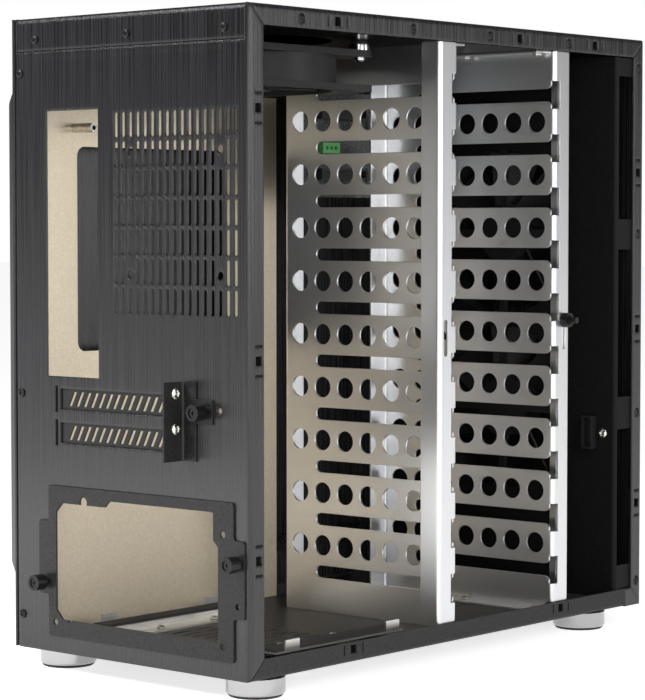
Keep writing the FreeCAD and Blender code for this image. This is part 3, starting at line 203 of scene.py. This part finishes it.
# A finish for each material slot: two tones, metallic share, two roughness values, grain or speckle
finishes = {
    "black_panel": brushed("brushed black panel", (0.005, 0.005, 0.0055), (0.026, 0.026, 0.0295),
                           0.0, 0.22, 0.34, UPRIGHT, depth=0.4, edge=0.0024),
    "gloss_black": brushed("gloss black deck", (0.1, 0.1, 0.1), (0.13, 0.129, 0.127),
                           1.0, 0.14, 0.2, FRONT_TO_REAR, depth=0.06),
    "bracket_black": speckled("satin black bracket", (0.012, 0.012, 0.012), (0.03, 0.03, 0.03),
                              0.0, 0.3, 0.42, 900.0, edge=0.0006),
    "clamp_black": speckled("gloss black clamp", (0.004, 0.004, 0.004), (0.009, 0.009, 0.009),
                            0.0, 0.18, 0.26, 900.0, 0.1),
    "cage_steel": speckled("satin cage steel", (0.72, 0.725, 0.735), (0.79, 0.795, 0.805),
                           1.0, 0.3, 0.34, 2600.0, 0.0, edge=0.0006),
    "tray_steel": speckled("warm tray steel", (0.7, 0.6, 0.45), (0.78, 0.68, 0.52),
                           0.5, 0.36, 0.46, 700.0, 0.05, edge=0.0006),
    "rail_steel": brushed("satin rail steel", (0.66, 0.64, 0.6), (0.78, 0.76, 0.72),
                          0.95, 0.26, 0.36, FRONT_TO_REAR, depth=0.12),
    "standoff_steel": brushed("turned standoff steel", (0.5, 0.48, 0.43), (0.66, 0.64, 0.58),
                              1.0, 0.2, 0.3, UPRIGHT, depth=0.15),
    "bright_screw": speckled("bright zinc screw", (0.66, 0.64, 0.6), (0.8, 0.78, 0.74),
                             1.0, 0.16, 0.26, 2600.0, 0.08),
    "black_screw": speckled("black oxide screw", (0.006, 0.006, 0.006), (0.014, 0.014, 0.014),
                            0.0, 0.26, 0.38, 2600.0, 0.12),
    "chrome": speckled("polished foot chrome", (0.4, 0.4, 0.405), (0.46, 0.46, 0.465),
                       1.0, 0.1, 0.14, 3000.0, 0.0, edge=0.0004),
    "rubber": speckled("matt black rubber", (0.012, 0.012, 0.012), (0.022, 0.022, 0.022),
                       0.0, 0.62, 0.8, 1800.0),
    "clip_plastic": speckled("black clip plastic", (0.008, 0.008, 0.008), (0.016, 0.0158, 0.0155),
                             0.0, 0.42, 0.55, 1600.0),
    "fan_plastic": speckled("black fan plastic", (0.012, 0.012, 0.012), (0.022, 0.022, 0.022),
                            0.0, 0.36, 0.5, 1500.0),
    "post_steel": brushed("turned post steel", (0.42, 0.42, 0.42), (0.56, 0.56, 0.56),
                          1.0, 0.2, 0.3, ACROSS, depth=0.12),
    "board_black": speckled("black board lacquer", (0.008, 0.011, 0.009), (0.015, 0.02, 0.017),
                            0.0, 0.22, 0.34, 700.0, 0.1),
    "socket_black": speckled("black socket plastic", (0.012, 0.012, 0.012), (0.022, 0.022, 0.022),
                             0.0, 0.38, 0.5, 1500.0),
    "terminal_green": speckled("green terminal plastic", (0.05, 0.24, 0.06), (0.09, 0.34, 0.1),
                               0.0, 0.32, 0.44, 1200.0),
    "button_metal": brushed("satin button metal", (0.16, 0.16, 0.16), (0.26, 0.26, 0.26),
                            1.0, 0.28, 0.38, ACROSS, depth=0.15),
    "holder_plastic": speckled("black holder plastic", (0.014, 0.014, 0.014), (0.026, 0.026, 0.026),
                               0.0, 0.42, 0.55, 1500.0),
    "port_metal": brushed("bright port shell", (0.5, 0.5, 0.5), (0.64, 0.64, 0.64),
                          1.0, 0.2, 0.3, FRONT_TO_REAR, depth=0.1),
}
satin_floor = speckled("satin black floor", (0.03, 0.03, 0.03), (0.05, 0.05, 0.05),
                       0.0, 0.4, 0.52, 900.0)
# Darker, duller copy of the bracket black for the front bracket: painted shade of the dim front chamber,
# not a colour the bracket has
painted_shade_black = speckled("fan bracket black with painted shade", (0.006, 0.006, 0.006), (0.012, 0.012, 0.012),
                      0.0, 0.5, 0.62, 900.0)
filter_cloth = speckled("black filter cloth", (0.004, 0.004, 0.004), (0.018, 0.018, 0.018),
                        0.0, 0.7, 0.85, 2400.0, 0.5)

# Specular level of each dark finish, where 0.5 is a plain gloss
for finish, level in ((finishes["black_panel"], 0.6), (finishes["black_screw"], 0.3),
                      (finishes["bracket_black"], 0.3), (finishes["clip_plastic"], 0.2),
                      (finishes["fan_plastic"], 0.2), (finishes["socket_black"], 0.25),
                      (satin_floor, 0.12), (painted_shade_black, 0.12), (filter_cloth, 0.1)):
    shader_of(finish).inputs["Specular IOR Level"].default_value = level

# The brushed grain draws the panels' gloss out into a streak
shader_of(finishes["black_panel"]).inputs["Anisotropic"].default_value = 0.8

# The deck's mirror image stays dim at a low angle
shader_of(finishes["gloss_black"]).inputs["Specular Tint"].default_value = (0.2, 0.2, 0.2, 1.0)


def paint(piece, finish):
    """Put a finish on every material slot of a piece."""
    if not piece.material_slots:
        piece.data.materials.append(finish)
    for slot in piece.material_slots:
        slot.material = finish


for part in frame["record"]["subparts"]:
    paint(nodes[part["node"]], finishes[part["material_slot"]])
# The front bracket takes the darker copy of black, which is painted shade
paint(nodes["front_bracket"], painted_shade_black)
paint(nodes["bottom_panel"], satin_floor)


def pick_faces(piece, wanted):
    """Leave only the wanted faces selected, in edit mode."""
    bpy.context.tool_settings.mesh_select_mode = (False, False, True)
    bpy.ops.object.mode_set(mode="EDIT")
    bpy.ops.mesh.select_all(action="DESELECT")
    bpy.ops.object.mode_set(mode="OBJECT")
    for face in piece.data.polygons:
        face.select = wanted(face)
    bpy.ops.object.mode_set(mode="EDIT")


def pick_only(pieces):
    """Leave only these objects selected, the first of them active."""
    bpy.ops.object.select_all(action="DESELECT")
    for piece in pieces:
        piece.select_set(True)
    bpy.context.view_layer.objects.active = pieces[0]


def joined(pieces):
    """The pieces as one object, selected and active."""
    pick_only(pieces)
    if len(pieces) > 1:
        bpy.ops.object.join()
    return bpy.context.object


def cut_recess(piece, cutter):
    """Take the cutter's shape out of the piece, and the cutter away."""
    pick_only([piece])
    cut = piece.modifiers.new("recess", "BOOLEAN")
    cut.operation = "DIFFERENCE"
    cut.object = cutter
    bpy.ops.object.modifier_apply(modifier=cut.name)
    bpy.data.objects.remove(cutter)


def set_at(piece, middle, way):
    """Turn a piece that points up until it points the given way, with its top's middle at a point."""
    turn = Vector((0.0, 0.0, 1.0)).rotation_difference(way).to_matrix().to_4x4()
    piece.data.transform(Matrix.Translation(middle) @ turn)


def finish_piece(piece, name, finish, body, angle=ROUND_ANGLE):
    """Place into the mesh, smooth the round faces, and hand the piece to its body."""
    bpy.ops.object.mode_set(mode="OBJECT")
    bpy.ops.object.transform_apply(location=True, rotation=True, scale=True)
    bpy.ops.object.shade_smooth_by_angle(angle=math.radians(angle))
    piece.name = name
    piece.data.name = name
    paint(piece, finish)
    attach(piece, body)
    bpy.ops.object.select_all(action="DESELECT")


def solids_of(node):
    """Vertices of each separate solid in a node, found by shared corners."""
    mesh = nodes[node].data
    keys = [tuple(round(c * 1e5) for c in v.co) for v in mesh.vertices]
    home = {key: key for key in keys}

    def root(key):
        while home[key] != key:
            home[key] = home[home[key]]
            key = home[key]
        return key

    for face in mesh.polygons:
        first = root(keys[face.vertices[0]])
        for corner in face.vertices[1:]:
            home[root(keys[corner])] = first
    groups = {}
    for vertex, key in zip(mesh.vertices, keys):
        groups.setdefault(root(key), []).append(vertex.co.copy())
    return list(groups.values())


def screw_pose(corners):
    """Middle of the head's outer face, the way it points, and the head's breadth."""
    low = [min(c[i] for c in corners) for i in range(3)]
    high = [max(c[i] for c in corners) for i in range(3)]
    size = [b - a for a, b in zip(low, high)]
    axis = min(range(3), key=lambda i: abs(size[(i + 1) % 3] - size[(i + 2) % 3]))
    sides = [(axis + 1) % 3, (axis + 2) % 3]
    middle = [(a + b) / 2 for a, b in zip(low, high)]
    widest = max(corners, key=lambda c: math.hypot(*(c[i] - middle[i] for i in sides)))
    outward = 1.0 if widest[axis] > middle[axis] else -1.0
    middle[axis] = high[axis] if outward > 0 else low[axis]
    way = [0.0, 0.0, 0.0]
    way[axis] = outward
    return Vector(middle), Vector(way), size[sides[0]]


def cross_cutter(breadth):
    """Plus-shaped cutter: a small block with its four sides drawn out."""
    arm = ARM_BREADTH * breadth
    bpy.ops.mesh.primitive_cube_add(size=1.0, scale=(arm, arm, RECESS_DEPTH * 2))
    cutter = bpy.context.object
    bpy.ops.object.transform_apply(location=True, rotation=True, scale=True)
    pick_faces(cutter, lambda face: abs(face.normal.z) < 0.5)
    bpy.ops.mesh.extrude_faces_move(TRANSFORM_OT_shrink_fatten={"value": ARM_REACH * breadth})
    bpy.ops.object.mode_set(mode="OBJECT")
    return cutter


def recessed_screws(node, finish, body):
    """The node's screws with a cross recess cut into each head."""
    cutters = []
    for solid in solids_of(node):
        middle, way, breadth = screw_pose(solid)
        cutter = cross_cutter(breadth)
        set_at(cutter, middle, way)
        cutters.append(cutter)
    cutter = joined(cutters)
    screws = bpy.data.objects.new(node + "_cross", nodes[node].data.copy())
    bpy.context.scene.collection.objects.link(screws)
    pick_only([screws])
    pick_faces(screws, lambda face: True)
    bpy.ops.mesh.remove_doubles(threshold=WELD)
    bpy.ops.object.mode_set(mode="OBJECT")
    cut_recess(screws, cutter)
    finish_piece(screws, node + "_cross", finish, body)
    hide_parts(node)


def knurled_thumbscrew(corners):
    """Thumbscrew with a knurled head, a neck and a cross recess, at the pose of one solid."""
    middle, way, breadth = screw_pose(corners)
    along = [way.dot(corner) for corner in corners]
    length = max(along) - min(along)
    radius = breadth / 2
    bpy.ops.mesh.primitive_cylinder_add(vertices=KNURL_TEETH * 2, radius=radius, depth=HEAD_DEPTH,
                                        location=(0.0, 0.0, -HEAD_DEPTH / 2))
    screw = bpy.context.object
    bpy.ops.object.transform_apply(location=True, rotation=True, scale=True)
    pick_faces(screw, lambda face: face.normal.z > 0.5)
    bpy.ops.mesh.inset(thickness=HEAD_RIM * radius)
    bpy.ops.mesh.inset(thickness=DISH_SLOPE * radius)
    bpy.ops.mesh.extrude_region_shrink_fatten(TRANSFORM_OT_shrink_fatten={"value": -DISH_DEPTH})
    pick_faces(screw, lambda face: face.normal.z < -0.5 and face.center.z < -0.9 * HEAD_DEPTH)
    bpy.ops.mesh.inset(thickness=NECK_STEP * radius)
    bpy.ops.mesh.extrude_region_move(TRANSFORM_OT_translate={"value": (0.0, 0.0, -NECK_DEPTH)})
    bpy.ops.mesh.inset(thickness=SHANK_STEP * radius)
    bpy.ops.mesh.extrude_region_move(
        TRANSFORM_OT_translate={"value": (0.0, 0.0, HEAD_DEPTH + NECK_DEPTH - length)})
    step = math.pi / KNURL_TEETH

    def in_groove(face):
        turn = math.atan2(face.center.y, face.center.x) % (2 * math.pi)
        upright = abs(face.normal.z) < 0.1
        on_head = face.center.z > -HEAD_DEPTH and math.hypot(face.center.x, face.center.y) > 0.9 * radius
        return upright and on_head and int(turn / step) % 2 == 0

    pick_faces(screw, in_groove)
    bpy.ops.mesh.inset(thickness=GROOVE_MARGIN, use_individual=True)
    bpy.ops.mesh.extrude_faces_move(TRANSFORM_OT_shrink_fatten={"value": -GROOVE_DEPTH})
    bpy.ops.object.mode_set(mode="OBJECT")
    cutter = cross_cutter(breadth * THUMB_RECESS)
    cutter.data.transform(Matrix.Translation((0.0, 0.0, -DISH_DEPTH)))
    cut_recess(screw, cutter)
    set_at(screw, middle, way)
    return screw


def thumbscrews(node, body):
    """One knurled thumbscrew for each solid of the node, joined as one piece."""
    piece = joined([knurled_thumbscrew(solid) for solid in solids_of(node)])
    finish_piece(piece, node + "_knurled", finishes["black_screw"], body, KNURL_ANGLE)
    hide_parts(node)


def dust_filter(name, fan):
    """Thin filter sheet with a raised rim, between the front panel's slots and a fan."""
    low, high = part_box(fan)
    middle = [(a + b) / 2 for a, b in zip(low, high)]
    middle[1] = low[1] - FILTER_STAND_OFF
    bpy.ops.mesh.primitive_cube_add(size=1.0, location=middle,
                                    scale=(FILTER_BREADTH, FILTER_DEPTH, FILTER_BREADTH))
    sheet = bpy.context.object
    bpy.ops.object.transform_apply(location=True, rotation=True, scale=True)
    pick_faces(sheet, lambda face: abs(face.normal.y) > 0.5)
    bpy.ops.mesh.inset(thickness=FILTER_RIM)
    bpy.ops.mesh.extrude_faces_move(TRANSFORM_OT_shrink_fatten={"value": -FILTER_DEPTH / 4})
    bpy.ops.object.mode_set(mode="OBJECT")
    rim = sheet.modifiers.new("rim", "BEVEL")
    rim.width = FILTER_DEPTH / 5
    rim.segments = 2
    bpy.ops.object.modifier_apply(modifier=rim.name)
    finish_piece(sheet, name, filter_cloth, "chassis")


def pale_floor():
    """Wide pale floor that keeps the shadow and stays white to the camera."""
    bpy.ops.mesh.primitive_plane_add(size=FLOOR_SIZE)
    floor = bpy.context.object
    floor.name = "pale_floor"
    finish, shader = new_finish("pale floor", (FLOOR_TONE, FLOOR_TONE, FLOOR_TONE), 0.0, FLOOR_ROUGHNESS)
    tree = finish.node_tree
    shader.inputs["Specular IOR Level"].default_value = 0.0
    glow = tree.nodes.new("ShaderNodeEmission")
    path = tree.nodes.new("ShaderNodeLightPath")
    seen = tree.nodes.new("ShaderNodeMath")
    seen.operation = "MAXIMUM"
    share = tree.nodes.new("ShaderNodeMath")
    share.operation = "MULTIPLY"
    share.inputs[1].default_value = FLOOR_GLOW
    both = tree.nodes.new("ShaderNodeAddShader")
    link(tree, path, "Is Camera Ray", seen, 0)
    link(tree, path, "Is Glossy Ray", seen, 1)
    link(tree, seen, "Value", share, 0)
    link(tree, share, "Value", glow, "Strength")
    link(tree, shader, "BSDF", both, 0)
    link(tree, glow, "Emission", both, 1)
    link(tree, both, "Shader", tree.nodes["Material Output"], "Surface")
    paint(floor, finish)


def soft_light(name, place, aim, size, power):
    """Square soft box that faces a point."""
    bpy.ops.object.light_add(type="AREA", location=place)
    lamp = bpy.context.object
    lamp.name = name
    lamp.data.size = size
    lamp.data.energy = power
    way = [b - a for a, b in zip(place, aim)]
    flat = math.hypot(way[0], way[1])
    lamp.rotation_euler = (math.atan2(flat, -way[2]), 0.0, math.atan2(way[1], way[0]) - math.pi / 2)


def white_surround():
    """World: white to the eye and in low reflections, softer as light on the object."""
    world = bpy.data.worlds.new("white surround")
    bpy.context.scene.world = world
    world.use_nodes = True
    tree = world.node_tree
    back = tree.nodes["Background"]
    back.inputs["Color"].default_value = (1.0, 1.0, 1.0, 1.0)
    path = tree.nodes.new("ShaderNodeLightPath")
    seen = tree.nodes.new("ShaderNodeMath")
    seen.operation = "MAXIMUM"
    way = tree.nodes.new("ShaderNodeTexCoord")
    parts = tree.nodes.new("ShaderNodeSeparateXYZ")
    fade = tree.nodes.new("ShaderNodeMapRange")
    fade.inputs["From Min"].default_value = HORIZON[0]
    fade.inputs["From Max"].default_value = HORIZON[1]
    fade.inputs["To Min"].default_value = MIRRORED_BELOW
    fade.inputs["To Max"].default_value = MIRRORED_ABOVE
    mirrored = tree.nodes.new("ShaderNodeMapRange")
    mirrored.inputs["To Min"].default_value = AMBIENT
    level = tree.nodes.new("ShaderNodeMapRange")
    level.inputs["To Max"].default_value = 1.0
    link(tree, way, "Generated", parts, "Vector")
    link(tree, parts, "Z", fade, "Value")
    link(tree, path, "Is Glossy Ray", mirrored, "Value")
    link(tree, fade, "Result", mirrored, "To Max")
    link(tree, path, "Is Camera Ray", seen, 0)
    link(tree, path, "Is Transmission Ray", seen, 1)
    link(tree, seen, "Value", level, "Value")
    link(tree, mirrored, "Result", level, "To Min")
    link(tree, level, "Result", back, "Strength")


def photo_camera():
    """Camera where the photograph was taken from."""
    bpy.ops.object.camera_add(location=CAMERA_PLACE)
    camera = bpy.context.object
    camera.name = "photo_camera"
    camera.rotation_euler = (math.radians(90.0 - CAMERA_PITCH), 0.0, math.radians(CAMERA_HEADING))
    camera.data.sensor_fit = "VERTICAL"
    camera.data.sensor_height = SENSOR
    camera.data.lens = CAMERA_LENS
    bpy.context.scene.camera = camera


bpy.ops.object.select_all(action="DESELECT")
dust_filter("dust_filter_lower", "front_fan_frame_lower")
dust_filter("dust_filter_upper", "front_fan_frame_upper")
thumbscrews("bracket_thumbscrews", "chassis")
thumbscrews("clamp_thumbscrew", "chassis")
thumbscrews("lock_thumbscrew", "drive_lock")
for part in frame["record"]["subparts"]:
    if part["node"] in CROSS_HEADED:
        slot = part["material_slot"]
        recessed_screws(part["node"], finishes[slot], "chassis")

pale_floor()
white_surround()
# Soft boxes: place, aim, breadth and power
soft_light("rear floor soft box", (0.45, 0.85, 0.75), (0.45, 0.85, 0.0), 0.4, 12.0)
soft_light("camera side soft box", (-0.95, 1.25, 0.3), (0.0, 0.1, 0.2), 0.3, 3.0)
soft_light("open side soft box", (-2.0, 0.7, 1.0), (0.0, 0.0, 0.2), 1.2, 20.0)
soft_light("side soft box", (-1.75, -0.75, 0.5), (-0.09, -0.05, 0.2), 0.6, 6.0)
soft_light("top soft box", (0.0, 0.4, 2.6), (0.0, 0.0, 0.3), 1.6, 8.0)
photo_camera()
bpy.context.scene.view_settings.view_transform = "Standard"
